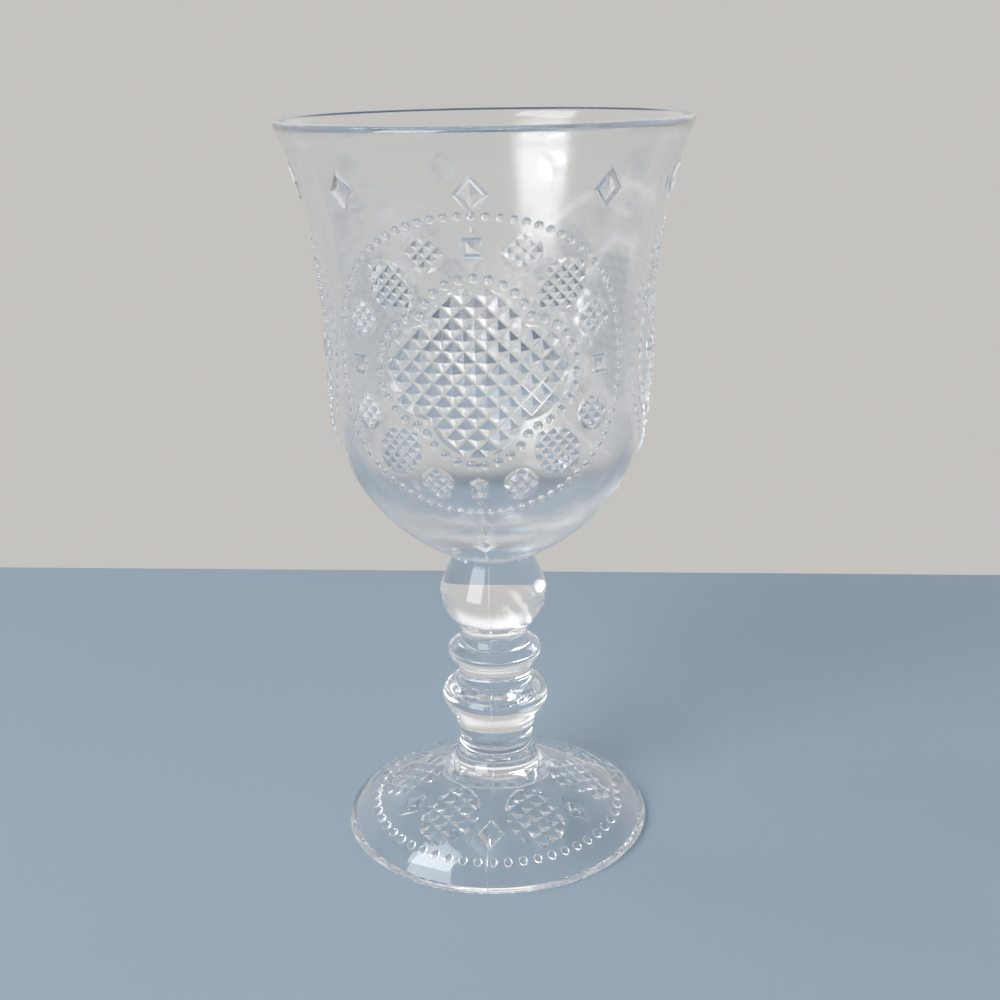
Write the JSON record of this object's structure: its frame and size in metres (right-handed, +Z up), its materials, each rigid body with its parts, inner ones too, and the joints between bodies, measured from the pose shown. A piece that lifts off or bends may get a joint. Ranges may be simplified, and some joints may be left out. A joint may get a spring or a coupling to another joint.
{
  "type": "water goblet",
  "caption": "Clear pressed-glass water goblet with a flared bowl, a solid stem of round knops and a ring, and a wide dished foot.",
  "frame": {"origin": "centre of the foot's standing ring, on the surface that the goblet stands on", "axes": "+Z up along the goblet's axis; -Y towards the middle of one panel of the bowl"},
  "size_m": [0.0952, 0.0952, 0.1787],
  "materials": {
    "clear_glass": "fire-polished clear pressed glass"
  },
  "bodies": {
    "root": {"bowl": "clear_glass", "upper_knop": "clear_glass", "stem_ring": "clear_glass", "lower_knop": "clear_glass", "foot": "clear_glass"}
  },
  "joints": []
}
